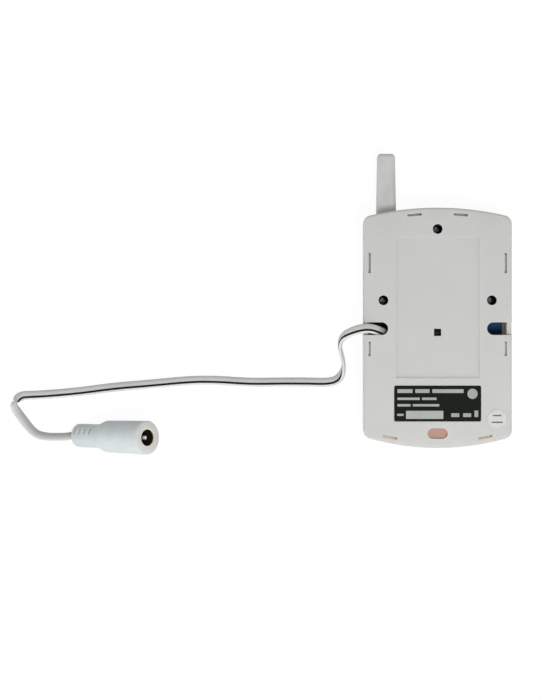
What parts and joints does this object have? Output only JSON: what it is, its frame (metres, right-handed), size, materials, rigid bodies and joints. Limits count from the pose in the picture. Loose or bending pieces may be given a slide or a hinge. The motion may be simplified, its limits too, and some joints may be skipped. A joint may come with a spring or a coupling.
{
  "type": "glass break sensor",
  "caption": "Wall-mounted glass break sensor: two-part moulded case with an antenna stub and a flat power lead that ends in an in-line socket",
  "frame": {"origin": "middle of the front face, on the surface that the case lies on", "axes": "+Z is the back's outward normal, +Y points along the antenna, and the power lead leaves on the -X side"},
  "size_m": [0.1881, 0.1119, 0.0332],
  "materials": {
    "case_plastic": "fine moulded satin",
    "screw_steel": "zinc plated",
    "board_laminate": "blue solder mask",
    "chip_plastic": "black moulded",
    "can_aluminium": "drawn can",
    "capacitor_sleeve": "shrunk sleeve",
    "boot_rubber": "soft moulded",
    "gauze_cloth": "fine woven",
    "lamp_green": "tinted clear resin",
    "lamp_red": "tinted clear resin",
    "window_resin": "clear",
    "stem_plastic": "moulded",
    "connector_plastic": "moulded",
    "wire_copper": "bare wire",
    "label_black": "printed film",
    "sticker_white": "paper",
    "lead_jacket": "flat two-core jacket with a dark stripe",
    "socket_plastic": "soft moulded",
    "contact_brass": "plated",
    "liner_black": "moulded",
    "pin_nickel": "plated"
  },
  "bodies": {
    "housing": {"alarm_lamp": "lamp_red", "amplifier_chip": "chip_plastic", "antenna_sleeve": "case_plastic", "antenna_wire": "wire_copper", "audio_capacitor": "capacitor_sleeve", "circuit_board": "board_laminate", "cover_screws": "screw_steel", "crystal": "can_aluminium", "front_cover": "case_plastic", "indicator_window": "window_resin", "input_capacitor": "capacitor_sleeve", "input_diode": "chip_plastic", "microphone": "can_aluminium", "microphone_boot": "boot_rubber", "output_capacitor": "capacitor_sleeve", "power_header": "connector_plastic", "power_lamp": "lamp_green", "power_lead": "lead_jacket", "power_plug": "connector_plastic", "processor_chip": "chip_plastic", "radio_board": "board_laminate", "radio_chip": "chip_plastic", "radio_pin_strip": "chip_plastic", "radio_resonator": "can_aluminium", "rating_label": "label_black", "rear_cover": "case_plastic", "round_sticker": "sticker_white", "socket_body": "socket_plastic", "socket_contact": "contact_brass", "socket_liner": "liner_black", "socket_pin": "pin_nickel", "sound_gauze": "gauze_cloth", "switch_cover_plate": "can_aluminium", "tamper_switch": "chip_plastic", "voltage_regulator": "chip_plastic"},
    "tamper_button": {"tamper_stem": "stem_plastic"}
  },
  "joints": [
    {"name": "tamper_press", "type": "slide", "parent": "housing", "child": "tamper_button", "axis": [0, 0, -1], "range_m": [0, 0.0005], "stiffness_N_per_m": 2000}
  ]
}
